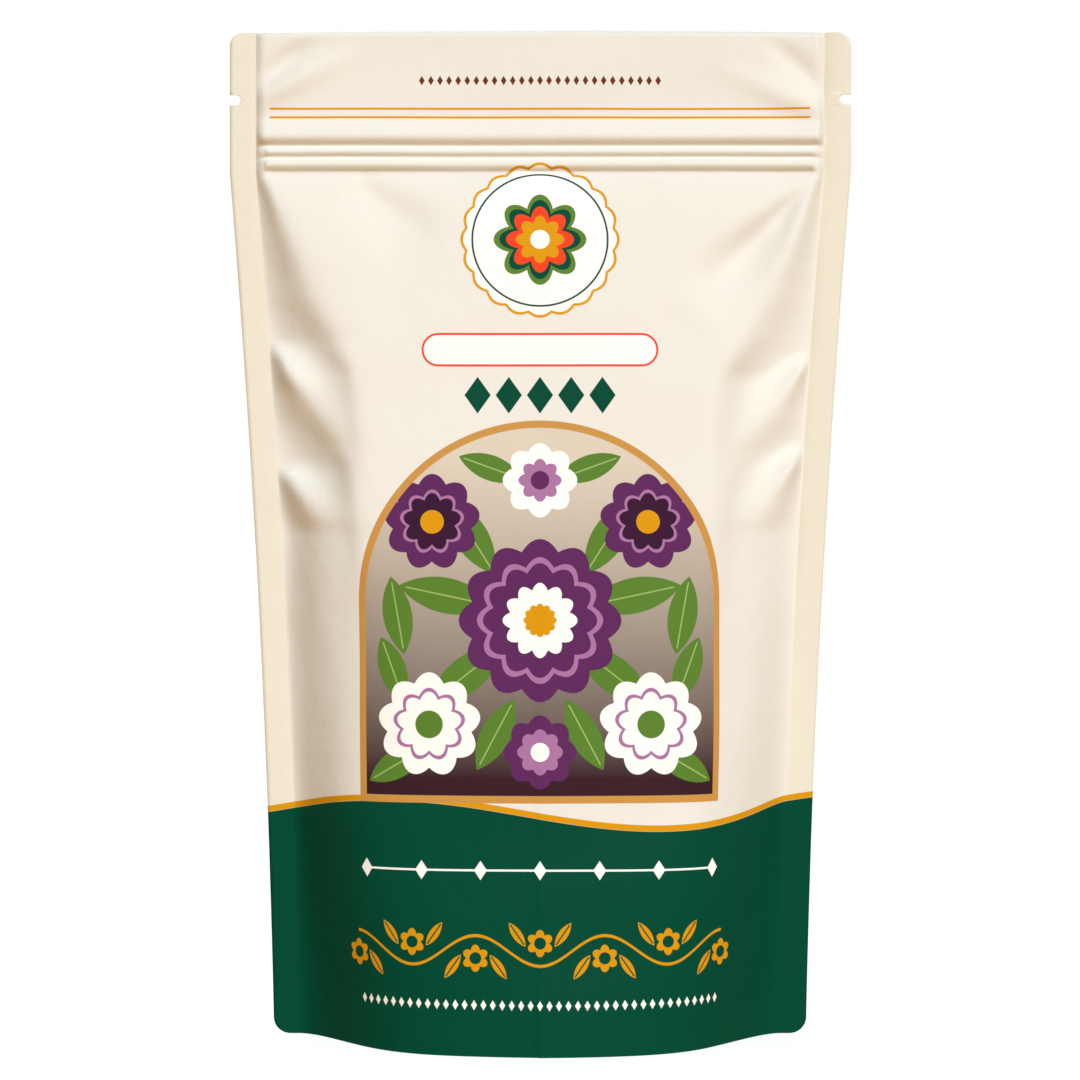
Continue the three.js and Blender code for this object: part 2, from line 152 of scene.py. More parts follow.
# Grooves, as start and end in mm across and up, the steep side's slope and its half width at the start.
# Both sides spread along the groove, which deepens over a lead-in and fades past half its length.
GROOVES = [((58.0, 179.0), (34.0, 154.2), 1.2, 0.6), ((-40, 179), (-22, 165), 0.5, 2.0)]
STEEP_SPREAD, SLACK_SPREAD, LEAD_IN = 0.14, 0.25, 4
FADED, FULL = 1.15, 0.5


def corner_grooves(x, z):
    """Grooves that run in and down from the zip's ends: a bell curve across each line, steep above it
    and slack below, which widens and deepens along it and fades out at its end."""
    depth = 0
    for (x0, z0), (x1, z1), slope, narrow in GROOVES:
        length = np.hypot(x1 - x0, z1 - z0)
        along = ((x - x0) * (x1 - x0) + (z - z0) * (z1 - z0)) / length
        across = ((x - x0) * (z1 - z0) - (z - z0) * (x1 - x0)) / length * np.sign(x0)
        run = np.clip(along, 0, None)
        steep = narrow + STEEP_SPREAD * run
        width = np.where(across > 0, steep, 2 * narrow + SLACK_SPREAD * run)
        hollow = slope * steep * np.exp(-(across / width) ** 2)
        depth = depth + hollow * ramp(0, LEAD_IN, along) * ramp(FADED, FULL, along / length)
    return depth


# Waves of slack, as radians for each mm across, radians for each mm up, and the phase.
SLACK_HEIGHT = 0.1
SLACK_WAVES = [(0.11, 0.13, 0.4), (-0.17, 0.10, 1.9), (0.06, -0.26, 3.1)]


def slack(x, z):
    """Faint waves of slack in the film: three crossing sines, 23 to 37 mm long, each 0.1 mm high."""
    return SLACK_HEIGHT * sum(np.sin(a * x + b * z + c) for a, b, c in SLACK_WAVES)


# The weld's outer face, what the gusset's film adds to it, and the height over which that fades.
WELD, GUSSET_PLY, PLY_FADE = 0.15, 0.13, 3
BELLY, BELLY_RISE = 26.25, 0.62
# How far the header and zip stand off, the round of the top rim, and the width of the step at a seal.
HEADER_PUFF, ZIP_PUFF, RIM, SEAL_STEP = 1.5, 1.6, 1.2, 2.2
# How far below the zip the step has given way to the flank, and the stand-off has ended.
STEP_BLEND, STAND_OFF_END = 5, 60
# At its ends the zip's lower track curls down, and a short length of both tracks is crushed flatter.
ZIP_CURL, CURL_WIDTH = 1.6, 3.2
CRUSH_WIDTH, CRUSH_SOFT, CRUSH_LOSS, CRUSH_LEAD = 2.3, 0.4, 0.55, 1
# Slack fades out towards the seals and the top edge, where the film is held.
HELD_SIDE, FREE_SIDE, FREE_TOP = 1, 9, 5


def film_depth(s, x, z, left, right):
    """Distance of a panel's outer face from the plane of the seals. s is 0 at the middle and 1 at
    the seal. Belly: a power of the way down from the zip, times the flank's share on either side.
    Above the zip the film stands off by the header, zip and relief heights, in a step at the seals."""
    h = np.clip((ZIP_Z - z) / ZIP_Z, 0, 1)
    inset = np.clip(1 - np.abs(s), 0, 1) * (half_width(z) - SIDE_SEAL)
    down = HEIGHT - z
    layers = WELD + GUSSET_PLY * (1 - ramp(GUSSET, GUSSET + PLY_FADE, z))
    share = np.where(x < 0, flank_share(inset, x, z, **left), flank_share(inset, x, z, **right))
    curl = ZIP_CURL * (1 - ramp(0, CURL_WIDTH, inset)) * ramp(ZIP_MIDDLE, ZIP_LOW, down)
    ends = ramp(CRUSH_WIDTH + CRUSH_SOFT, CRUSH_WIDTH - CRUSH_SOFT, inset)
    crush = 1 - CRUSH_LOSS * ends * ramp(ZIP_TOP - CRUSH_LEAD, ZIP_TOP, down)
    rim = np.sqrt(1 - np.clip(1 - down / RIM, 0, 1) ** 2)
    header = HEADER_PUFF * rim + (ZIP_PUFF - HEADER_PUFF) * ramp(ROLL_TOP, ZIP_TOP, down)
    below_top = ramp(0, FREE_TOP, down)
    header = header + zip_relief(down - curl) * crush + header_waves(x, z) * below_top
    step = 1 - (1 - np.clip(inset / SEAL_STEP, 0, 1)) ** 2
    step = step + (share - step) * ramp(ZIP_LOW, ZIP_LOW + STEP_BLEND, down)
    stand_off = header * step * (1 - ramp(ZIP_LOW, ZIP_LOW + STAND_OFF_END, down))
    loose = (slack(x, z) - corner_grooves(x, z)) * ramp(HELD_SIDE, FREE_SIDE, inset) * below_top
    return layers + BELLY * h**BELLY_RISE * share + stand_off + loose


# How the columns divide between even spacing and crowding at the seals, how much of a seal band its
# inner columns take, and the height of the step at a notch's lips.
EVEN, CROWDED = 0.45, 0.55
BAND_NEAR, BAND_SHARE, NOTCH_LIP = 2.0, 0.635, 0.002


def panel_grid():
    """The film's grid as (s, x, z): rows from the table up, close together at the zip and notches,
    and columns across, closer near the seals, with nine columns over each seal band, the
    inner five at the same places in every row where the band is wide enough."""
    k = np.linspace(-1, 1, 169)
    across = EVEN * k + CROWDED * np.sin(np.pi / 2 * k)
    notch = HEIGHT - NOTCH_DROP + NOTCH_HALF * np.sin(np.linspace(-np.pi / 2, np.pi / 2, 15))
    arc = np.sin(np.linspace(0, np.pi / 2, 12))
    rows = np.concatenate([
        BASE_RADIUS * (1 - arc[::-1]),
        np.linspace(BASE_RADIUS, ZIP_Z, 150)[1:],
        np.linspace(ZIP_Z, HEIGHT - ROLL_TOP, 46)[1:],
        np.linspace(HEIGHT - ROLL_TOP, notch[0] - NOTCH_LIP, 5)[1:],
        notch, [notch[-1] + NOTCH_LIP],
        np.linspace(notch[-1], HEIGHT - TOP_RADIUS, 14)[1:],
        HEIGHT - TOP_RADIUS + TOP_RADIUS * arc[1:]])
    band = np.concatenate([np.linspace(1, 0.5, 5), 0.5 * np.linspace(0.8, 0.2, 4) ** 2])
    s = np.concatenate([-1 - band, across, 1 + band[::-1]])
    s, z = np.meshgrid(s, rows)
    seal_edge = half_width(z) - SIDE_SEAL
    over = 2 * np.clip(np.abs(s) - 1, 0, 1)
    wide = cut_edge(z) - seal_edge
    near = np.minimum(BAND_NEAR, BAND_SHARE * wide)
    past = near * np.clip(over, 0, 1) + (wide - near) * np.clip(over - 1, 0, 1)
    x = np.where(over > 0, np.sign(s) * (seal_edge + past), s * seal_edge)
    return s, x, z


def sheet_piece(name, outer, inner, film):
    """A closed thin piece from two matching grids of points in mm, joined round their edges, with the
    flat film's own place in mm kept as the attribute film. The outer grid's faces turn outwards."""
    rows, columns = outer.shape[:2]
    index = np.arange(2 * rows * columns).reshape(2, rows, columns)
    quads = lambda g: np.stack([g[:-1, :-1], g[:-1, 1:], g[1:, 1:], g[1:, :-1]], -1).reshape(-1, 4)
    ring = lambda g: np.concatenate([g[0, :-1], g[:-1, -1], g[-1, :0:-1], g[:0:-1, 0]])
    near, far = ring(index[0]), ring(index[1])
    rim = np.stack([near, far, np.roll(far, -1), np.roll(near, -1)], -1)
    faces = np.concatenate([quads(index[0]), quads(index[1])[:, ::-1], rim])
    mesh = bpy.data.meshes.new(name)
    points = np.concatenate([outer, inner]).reshape(-1, 3) / 1000
    mesh.from_pydata(points.tolist(), [], faces.tolist())
    kept = mesh.attributes.new("film", "FLOAT_VECTOR", "POINT")
    kept.data.foreach_set("vector", np.concatenate([film, film]).astype(np.float32).ravel())
    mesh.shade_smooth()
    piece = bpy.data.objects.new(name, mesh)
    bpy.context.scene.collection.objects.link(piece)
    return piece


# The top edge drops towards its ends, and the right seal bends forward, fully so from a height up.
TOP_CROWN = 0.5
SEAL_BEND, BEND_LENGTH, BEND_FOOT, BEND_FULL = 0.9, 1.2, 60, 110


def film_panel(name, facing, left, right):
    """A panel facing -Y (facing -1) or +Y (1): the outer face at film_depth, the inner face one film
    thickness in along the level normal, and the flat film as arc length across, height up and
    distance in from the seal. The right seal bends forward by 1 - exp(-d / BEND_LENGTH) of the full
    bend at d past its inner edge."""
    s, x, z = panel_grid()
    depth = film_depth(s, x, z, left, right)
    crown = TOP_CROWN * (x / (FLAT_WIDTH / 2)) ** 2 * np.clip((z - HEIGHT + ROLL_TOP) / ROLL_TOP, 0, 1)
    past = np.clip(x - half_width(z) + SIDE_SEAL, 0, None)
    bend = SEAL_BEND * (1 - np.exp(-past / BEND_LENGTH)) * ramp(BEND_FOOT, BEND_FULL, z)
    slope = np.gradient(depth, axis=1) / np.gradient(x, axis=1) * (np.abs(s) < 1)
    long = np.sqrt(1 + slope**2)
    outer = np.stack([x, facing * depth - bend, z - crown], -1)
    inner = np.stack([x + FILM * slope / long, facing * (depth - FILM / long) - bend, z - crown], -1)
    step = np.hypot(np.diff(x, axis=1), np.diff(depth, axis=1))
    arc = np.concatenate([np.zeros_like(x[:, :1]), np.cumsum(step, axis=1)], axis=1)
    arc -= arc[:, [s.shape[1] // 2]]
    inset = (1 - np.abs(s)) * np.where(np.abs(s) < 1, half_width(z) - SIDE_SEAL, SIDE_SEAL)
    film = np.stack([-facing * arc, z - crown, inset], -1)
    turn = slice(None, None, -facing)
    return sheet_piece(name, outer[:, turn], inner[:, turn], film[:, turn])


def linear(code):
    """An sRGB hex code as linear red, green, blue and full alpha."""
    srgb = np.array([int(code[i:i + 2], 16) / 255 for i in (1, 3, 5)])
    return (*np.where(srgb <= 0.04045, srgb / 12.92, ((srgb + 0.055) / 1.055) ** 2.4), 1.0)


def add(tree, kind, inputs, out=0, **settings):
    """Adds one shader node with its settings, fills its inputs with values or links, gives an output."""
    made = tree.nodes.new("ShaderNode" + kind)
    for key, value in settings.items():
        setattr(made, key, value)
    for key, value in inputs.items():
        if isinstance(value, bpy.types.NodeSocket):
            tree.links.new(value, made.inputs[key])
        else:
            made.inputs[key].default_value = value
    return made.outputs[out]


def new_material(name):
    """A node material by that name, with its tree and its Principled shader."""
    material = bpy.data.materials.new(name)
    material.use_nodes = True
    return material, material.node_tree, material.node_tree.nodes["Principled BSDF"]


# Ink edges are 0.1 mm soft, as print is.
INK_SOFT = 0.05


def inside(tree, distance):
    """1 where a distance in mm is below 0, over a soft ink edge."""
    return add(tree, "MapRange", {0: distance, 1: INK_SOFT, 2: -INK_SOFT, 3: 0.0, 4: 1.0})


def paint(tree, under, ink, mask):
    """One colour printed over another where the mask is 1."""
    return add(tree, "Mix", {0: mask, 6: under, 7: ink}, out=2, data_type="RGBA")


def outline(tree, distance, width):
    """Distance to a line of a width drawn along an edge: |distance| less half the width."""
    off = add(tree, "Math", {0: distance}, operation="ABSOLUTE")
    return add(tree, "Math", {0: off, 1: width / 2}, operation="SUBTRACT")


def box(tree, place, centre, half, corner):
    """Distance to a box with round corners: the length of what |place - centre| has beyond the half
    size less the corner's radius, less that radius."""
    off = add(tree, "VectorMath", {0: place, 1: (*centre, 0)}, operation="SUBTRACT")
    off = add(tree, "VectorMath", {0: off}, operation="ABSOLUTE")
    straight = (half[0] - corner, half[1] - corner, 0)
    off = add(tree, "VectorMath", {0: off, 1: straight}, operation="SUBTRACT")
    off = add(tree, "VectorMath", {0: off, 1: (0, 0, 0)}, operation="MAXIMUM")
    reach = add(tree, "VectorMath", {0: off}, out="Value", operation="LENGTH")
    return add(tree, "Math", {0: reach, 1: corner}, operation="SUBTRACT")


def row(tree, place, height, pitch, half, ends):
    """Distance to a row of lozenges of that pitch at one height, as far out as the ends: the sum of the
    shares of the half width and half height, less 1, times the half width."""
    u = add(tree, "SeparateXYZ", {0: place})
    near = add(tree, "Math", {0: u, 1: pitch / 2}, operation="PINGPONG")
    off = add(tree, "CombineXYZ", {0: near, 1: add(tree, "SeparateXYZ", {0: place}, out=1)})
    off = add(tree, "VectorMath", {0: off, 1: (0, height, 0)}, operation="SUBTRACT")
    off = add(tree, "VectorMath", {0: off}, operation="ABSOLUTE")
    steep = (1, half[0] / half[1], 0)
    share = add(tree, "VectorMath", {0: off, 1: steep}, out="Value", operation="DOT_PRODUCT")
    lozenge = add(tree, "Math", {0: share, 1: half[0]}, operation="SUBTRACT")
    out = add(tree, "Math", {0: u}, operation="ABSOLUTE")
    out = add(tree, "Math", {0: out, 1: ends}, operation="SUBTRACT")
    return add(tree, "Math", {0: lozenge, 1: out}, operation="MAXIMUM")


def rosette(tree, colour, place, centre, rings):
    """Prints rings round a centre, largest first, each a radius less a scallop's depth times
    1 - |cos(angle lobes / 2)|, in its own ink."""
    off = add(tree, "VectorMath", {0: place, 1: (*centre, 0)}, operation="SUBTRACT")
    reach = add(tree, "VectorMath", {0: off}, out="Value", operation="LENGTH")
    x, y = (add(tree, "SeparateXYZ", {0: off}, out=axis) for axis in (0, 1))
    angle = add(tree, "Math", {0: x, 1: y}, operation="ARCTAN2")
    for radius, lobes, scallop, ink in rings:
        turn = add(tree, "Math", {0: angle, 1: lobes / 2}, operation="MULTIPLY")
        wave = add(tree, "Math", {0: turn}, operation="COSINE")
        wave = add(tree, "Math", {0: wave}, operation="ABSOLUTE")
        edge = add(tree, "Math", {0: wave, 1: scallop, 2: radius - scallop}, operation="MULTIPLY_ADD")
        distance = add(tree, "Math", {0: reach, 1: edge}, operation="SUBTRACT")
        colour = paint(tree, colour, ink, inside(tree, distance))
    return colour


VEIN_SHARE, VEIN_HALF = 0.85, 0.14


def leaf(tree, colour, place, centre, turn, size, ink, vein):
    """Prints an almond leaf with a vein: inside both of two circles, (x, |y| + k) no longer than r,
    where r = (a^2 + b^2) / 2b and k = r - b for half length a and half width b."""
    a, b = size
    r = (a * a + b * b) / (2 * b)
    turned = (0, 0, np.radians(turn))
    spot = add(tree, "Mapping", {"Vector": place, "Location": (*centre, 0), "Rotation": turned},
               vector_type="TEXTURE")
    off = add(tree, "VectorMath", {0: spot}, operation="ABSOLUTE")
    out = add(tree, "VectorMath", {0: off, 1: (0, r - b, 0)}, operation="ADD")
    reach = add(tree, "VectorMath", {0: out}, out="Value", operation="LENGTH")
    blade = add(tree, "Math", {0: reach, 1: r}, operation="SUBTRACT")
    colour = paint(tree, colour, ink, inside(tree, blade))
    middle = box(tree, spot, (0, 0), (VEIN_SHARE * a, VEIN_HALF), VEIN_HALF)
    return paint(tree, colour, vein, inside(tree, middle))


CREAM, SEAL_CREAM, BASE_GREEN, GOLD = (
    linear(code) for code in ("#e7e3d9", "#e6dfcd", "#044935", "#d8960f"))
OCHRE, ORANGE, BROWN, WHITE = (
    linear(code) for code in ("#c8924a", "#ee4420", "#6b3320", "#fbf8f2"))
WAVE_LENGTH, WAVE_HEIGHT, WAVE_LINE, WAVE_SHIFT = 110, 3.0, 47.5, 30
GOLD_LIFT, GOLD_WIDTH = 0.65, 1.24


def base_print(tree, u, v, inset):
    """Cream ground, a shade deeper on the welds, green base below a slow wave, and a gold line along
    the wave. The wave is a cosine 110 mm long and 3 mm high about a line 47.5 mm up."""
    turn = 2 * np.pi / WAVE_LENGTH
    phase = add(tree, "Math", {0: u, 1: turn, 2: WAVE_SHIFT * turn}, operation="MULTIPLY_ADD")
    wave = add(tree, "Math", {0: phase}, operation="COSINE")
    edge = add(tree, "Math", {0: wave, 1: WAVE_HEIGHT, 2: WAVE_LINE}, operation="MULTIPLY_ADD")
    above = add(tree, "Math", {0: v, 1: edge}, operation="SUBTRACT")
    colour = paint(tree, CREAM, SEAL_CREAM, inside(tree, inset))
    colour = paint(tree, colour, BASE_GREEN, inside(tree, above))
    off_line = add(tree, "Math", {0: above, 1: GOLD_LIFT}, operation="SUBTRACT")
    return paint(tree, colour, GOLD, inside(tree, outline(tree, off_line, GOLD_WIDTH)))


# Matte varnish leaves hardly any gloss, so that the light on the folds shows as plain shade.
# The crinkle's grains and the fibre marks, in mm of film.
FINE_GRAIN, BROAD_GRAIN = 2.0, 9.09
FIBRE_LENGTH, FIBRE_WIDTH, FIBRE_SLANT = 2.5, 0.4, -0.61


def laminate_finish(tree, shader):
    """Matte-varnished polyester film: faint satin gloss, a crinkle of 2 mm and 9 mm grain, and fine
    slanting fibre marks 0.4 mm wide."""
    place = add(tree, "Attribute", {}, out="Vector", attribute_name="film")
    fine = add(tree, "TexNoise", {"Vector": place, "Scale": 1 / FINE_GRAIN, "Detail": 3.0})
    broad = add(tree, "TexNoise", {"Vector": place, "Scale": 1 / BROAD_GRAIN, "Detail": 1.0})
    both = add(tree, "Math", {0: fine, 1: 0.25, 2: broad}, operation="MULTIPLY_ADD")
    drawn = {"Rotation": (0, 0, FIBRE_SLANT), "Scale": (FIBRE_LENGTH, FIBRE_WIDTH, 1)}
    slant = add(tree, "Mapping", {"Vector": place, **drawn}, vector_type="TEXTURE")
    fibres = add(tree, "TexNoise", {"Vector": slant, "Scale": 1.0, "Detail": 2.0})
    both = add(tree, "Math", {0: fibres, 1: 0.06, 2: both}, operation="MULTIPLY_ADD")
    bump = add(tree, "Bump", {"Strength": 0.3, "Distance": 0.0008, "Height": both})
    rough = add(tree, "MapRange", {0: fine, 1: 0.3, 2: 0.7, 3: 0.42, 4: 0.52})
    tree.links.new(rough, shader.inputs["Roughness"])
    tree.links.new(bump, shader.inputs["Normal"])
    shader.inputs["IOR"].default_value = 1.5
    shader.inputs["Specular IOR Level"].default_value = 0.025


# The print, placed in mm across from the middle and up from the table: gold rules, a scalloped badge,
# an empty label, lozenges, an arched panel of folk flowers, and a vine on the green base.
RULES, RULE_HALF, RULE_CORNER = (191.6, 193.4), (56.5, 0.23), 0.2
BADGE, LABEL, LABEL_HALF, LABEL_CORNER, LABEL_LINE = (0, 165.5), (0, 142.4), (24.1, 3.25), 3.2, 0.45
ARCH_CENTRE, ARCH_RADIUS, ARCH_LINE = 90.5, 36.5, 1.5
ARCH_BOX, ARCH_BOX_HALF, ARCH_BOX_CORNER = (0, 91), (60, 40), 8
ART_FOOT, ART_TOP = 55.0, 120.0
THREAD, THREAD_HALF = (0, 36.9), (36, 0.2)
VINE_PITCH, VINE_SWING, VINE, VINE_HALF, STEM_HALF = 26, -3.0, (0, 21.0), (41.8, 9), (39, 0.3)
# Rows of lozenges, as height, pitch, half size and how far out they run.
TOP_BEADS, BASE_BEADS = (199.3, 1.9, (0.6, 1.0), 25.65), (10.2, 1.9, (0.6, 1.0), 38.95)
LOZENGES, KNOTS = (133.0, 6.4, (2.7, 3.8), 16.0), (36.9, 12.0, (1.3, 1.9), 37.4)
PURPLE, PLUM, LILAC, LEAF, LEAF_VEIN = (
    linear(code) for code in ("#5e2a5c", "#3a1a35", "#a8739f", "#5a8030", "#9db56a"))
DUSK, DAWN = linear("#3a2028"), linear("#d9cbb8")

front_film, tree, shader = new_material("front_printed_laminate")
film = add(tree, "Attribute", {}, out="Vector", attribute_name="film")
u, v, inset = (add(tree, "SeparateXYZ", {0: film}, out=axis) for axis in range(3))
flat = add(tree, "CombineXYZ", {0: u, 1: v})
folded = add(tree, "VectorMath", {0: flat}, operation="ABSOLUTE")
colour = base_print(tree, u, v, inset)

for height in RULES:
    rule = box(tree, flat, (0, height), RULE_HALF, RULE_CORNER)
    colour = paint(tree, colour, GOLD, inside(tree, rule))
colour = paint(tree, colour, BROWN, inside(tree, row(tree, flat, *TOP_BEADS)))

colour = rosette(tree, colour, flat, BADGE, [
    (16.5, 20, 0.8, GOLD), (15.9, 20, 0.8, WHITE), (14.2, 20, 0.0, BASE_GREEN), (13.8, 20, 0.0, WHITE),
    (9.6, 8, 2.6, LEAF), (8.4, 8, 2.6, BASE_GREEN), (7.0, 8, 2.2, ORANGE), (5.0, 8, 1.4, GOLD),
    (2.0, 8, 0.0, WHITE)])

pill = box(tree, flat, LABEL, LABEL_HALF, LABEL_CORNER)
colour = paint(tree, colour, WHITE, inside(tree, pill))
colour = paint(tree, colour, ORANGE, inside(tree, outline(tree, pill, LABEL_LINE)))
colour = paint(tree, colour, BASE_GREEN, inside(tree, row(tree, flat, *LOZENGES)))

rise = add(tree, "MapRange", {0: v, 1: ART_FOOT, 2: ART_TOP})
art = paint(tree, DUSK, DAWN, rise)
for centre, turn, size in (
        ((14, 104), 58, (9, 3.4)), ((19, 92), 12, (10, 3.6)), ((15, 76), -38, (10, 3.6)),
        ((29, 88), 80, (8, 3)), ((9, 64), -62, (8, 3)), ((29, 58), -30, (7, 2.8)),
        ((10, 118), 20, (7, 2.6)), ((30, 77), 70, (7, 2.8))):
    art = leaf(tree, art, folded, centre, turn, size, LEAF, LEAF_VEIN)
art = rosette(tree, art, folded, (0, 87), [
    (16.5, 12, 2.2, PURPLE), (12.8, 12, 1.8, LILAC), (11.6, 12, 1.8, PURPLE), (7.6, 12, 1.4, WHITE),
    (3.4, 12, 0.5, GOLD)])
art = rosette(tree, art, folded, (22.5, 66), [
    (10.5, 9, 1.8, WHITE), (7.4, 9, 1.4, LILAC), (6.6, 9, 1.4, WHITE), (2.8, 9, 0.0, LEAF)])
art = rosette(tree, art, folded, (22, 107), [
    (9.8, 9, 1.7, PURPLE), (6.6, 9, 1.3, LILAC), (5.9, 9, 1.3, PLUM), (2.4, 9, 0.0, GOLD)])
art = rosette(tree, art, folded, (0, 115.5), [
    (7.6, 8, 1.4, WHITE), (4.4, 8, 1.0, LILAC), (1.9, 8, 0.0, PURPLE)])
art = rosette(tree, art, folded, (0, 60.5), [
    (7.4, 8, 1.3, PURPLE), (4.6, 8, 0.9, LILAC), (1.9, 8, 0.0, WHITE)])
over = add(tree, "VectorMath", {0: flat, 1: (0, ARCH_CENTRE, 0)}, operation="SUBTRACT")
over = add(tree, "VectorMath", {0: over, 1: (-1e3, 0, 0)}, operation="MAXIMUM")
arch = add(tree, "VectorMath", {0: over}, out="Value", operation="LENGTH")
arch = add(tree, "Math", {0: arch, 1: ARCH_RADIUS}, operation="SUBTRACT")
frame_box = box(tree, flat, ARCH_BOX, ARCH_BOX_HALF, ARCH_BOX_CORNER)
arch = add(tree, "Math", {0: arch, 1: frame_box}, operation="MAXIMUM")
colour = paint(tree, colour, art, inside(tree, arch))
colour = paint(tree, colour, OCHRE, inside(tree, outline(tree, arch, ARCH_LINE)))

thread = box(tree, flat, THREAD, THREAD_HALF, THREAD_HALF[1])
colour = paint(tree, colour, WHITE, inside(tree, thread))
colour = paint(tree, colour, WHITE, inside(tree, row(tree, flat, *KNOTS)))
swing = add(tree, "Math", {0: u, 1: 2 * np.pi / VINE_PITCH}, operation="MULTIPLY")
swing = add(tree, "Math", {0: swing}, operation="COSINE")
stem = add(tree, "Math", {0: swing, 1: VINE_SWING, 2: VINE[1]}, operation="MULTIPLY_ADD")
stem = add(tree, "CombineXYZ", {0: u, 1: add(tree, "Math", {0: v, 1: stem}, operation="SUBTRACT")})
colour = paint(tree, colour, GOLD, inside(tree, box(tree, stem, (0, 0), STEM_HALF, STEM_HALF[1])))
near = add(tree, "Math", {0: u, 1: VINE_PITCH / 2}, operation="PINGPONG")
sprig = add(tree, "CombineXYZ", {0: near, 1: v})
within = inside(tree, box(tree, flat, VINE, VINE_HALF, 1))
vine = colour
for centre in ((0, 22.5), (13, 19.5)):
    vine = rosette(tree, vine, sprig, centre, [(2.7, 6, 0.9, GOLD), (1.2, 6, 0.0, BASE_GREEN)])
for centre, turn in (((4.6, 24.2), 55), ((8.4, 17.8), 55)):
    vine = leaf(tree, vine, sprig, centre, turn, (2.9, 0.95), GOLD, BASE_GREEN)
colour = paint(tree, colour, vine, within)
colour = paint(tree, colour, WHITE, inside(tree, row(tree, flat, *BASE_BEADS)))
tree.links.new(colour, shader.inputs["Base Color"])
laminate_finish(tree, shader)

front_panel = film_panel("front_panel_film", -1, FRONT_LEFT, FRONT_RIGHT)
front_panel.data.materials.append(front_film)
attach(front_panel, "root")
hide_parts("front_panel")


# Back panel.
# The same reverse-printed laminate, cut to the same outline and welded to the front along its edges.
# Its folds fall where its own film buckles, and it carries an empty ruled label.
BACK_LEFT = {
    "ridges": [[(180.7, 1.2, 1.3, 4), (170, 5.2, 1.3, 4), (158, 10.0, 1.4, 4), (147, 14.5, 1.8, 5),
                (139, 17.0, 2.4, 10), (120, 19, 2.4, 10)],
               [(145, 2.0, 1.5, 4), (138, 2.4, 1.5, 4), (126, 9.0, 1.5, 4), (113, 15.0, 2.2, 9),
                (95, 16, 2.2, 9)],
               [(120, 2.2, 1.5, 3), (113, 2.6, 1.5, 3), (104, 8.8, 1.7, 1.7), *FLANK]],
    "nodes": [(56.4, 140.0, 8, 57), (54.6, 114.0, 4, 56)]}
BACK_RIGHT = {
    "ridges": [[(180.7, 1.2, 1.3, 4), (168, 6.2, 1.3, 4), (154, 12.0, 1.4, 4), (146, 16.2, 1.9, 5),
                (138, 17.5, 2.4, 10), (120, 19, 2.4, 10)],
               [(150, 2.0, 1.5, 4), (143, 2.4, 1.5, 4), (130, 9.6, 1.5, 4), (120, 14.8, 2.2, 9),
                (100, 16, 2.2, 9)],
               [(124, 2.2, 1.5, 3), (117, 2.6, 1.5, 3), (107, 8.4, 1.7, 1.7), *FLANK]],
    "nodes": [(56.9, 144.0, 6, 56), (54.9, 118.0, 0, 54)]}
back_film, tree, shader = new_material("back_printed_laminate")
film = add(tree, "Attribute", {}, out="Vector", attribute_name="film")
u, v, inset = (add(tree, "SeparateXYZ", {0: film}, out=axis) for axis in range(3))
flat = add(tree, "CombineXYZ", {0: u, 1: v})
colour = base_print(tree, u, v, inset)
for height in RULES:
    rule = box(tree, flat, (0, height), RULE_HALF, RULE_CORNER)
    colour = paint(tree, colour, GOLD, inside(tree, rule))
RULED_LABEL, LINE_PITCH = (0, 112), 10.0
label = box(tree, flat, RULED_LABEL, (36, 42), 5)
colour = paint(tree, colour, WHITE, inside(tree, label))
colour = paint(tree, colour, OCHRE, inside(tree, outline(tree, label, 1.2)))
near = add(tree, "Math", {0: v, 1: LINE_PITCH / 2}, operation="PINGPONG")
ruled = add(tree, "CombineXYZ", {0: u, 1: near})
ruled = inside(tree, box(tree, ruled, (0, LINE_PITCH / 2), (30, 0.12), 0.1))
within = inside(tree, box(tree, flat, RULED_LABEL, (31, 36), 1))
colour = paint(tree, colour, BASE_GREEN, add(tree, "Math", {0: ruled, 1: within}, operation="MULTIPLY"))
tree.links.new(colour, shader.inputs["Base Color"])
laminate_finish(tree, shader)

back_panel = film_panel("back_panel_film", 1, BACK_LEFT, BACK_RIGHT)
back_panel.data.materials.append(back_film)
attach(back_panel, "root")
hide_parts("back_panel")


# Bottom gusset.
# The same laminate folded up between the panels, welded to them in a curve that is low at the
# middle and climbs to the side seals, and spread open by the seeds into the floor of the pouch.
GUSSET_WELD, FLOOR_LIFT, FOLD_CLEAR = 6.0, 1.2, 0.4
WELD_CURVE, FLOOR_CURVE = 4, 2.5
GUSSET_FILM, GUSSET_GAP, LEAST_DEPTH = 0.1, 0.02, 0.03


def gusset_height(t, b):
    """Height of the gusset at share t of the way out to the seal, b from -1 at the front weld to 1
    at the back: the weld's height, joined by a parabola to the middle's, each a power of t."""
    weld = GUSSET_WELD + (GUSSET - FOLD_CLEAR - GUSSET_WELD) * t**WELD_CURVE
    middle = FLOOR_LIFT + (GUSSET - FLOOR_LIFT) * t**FLOOR_CURVE
    return weld + (middle - weld) * (1 - b * b)


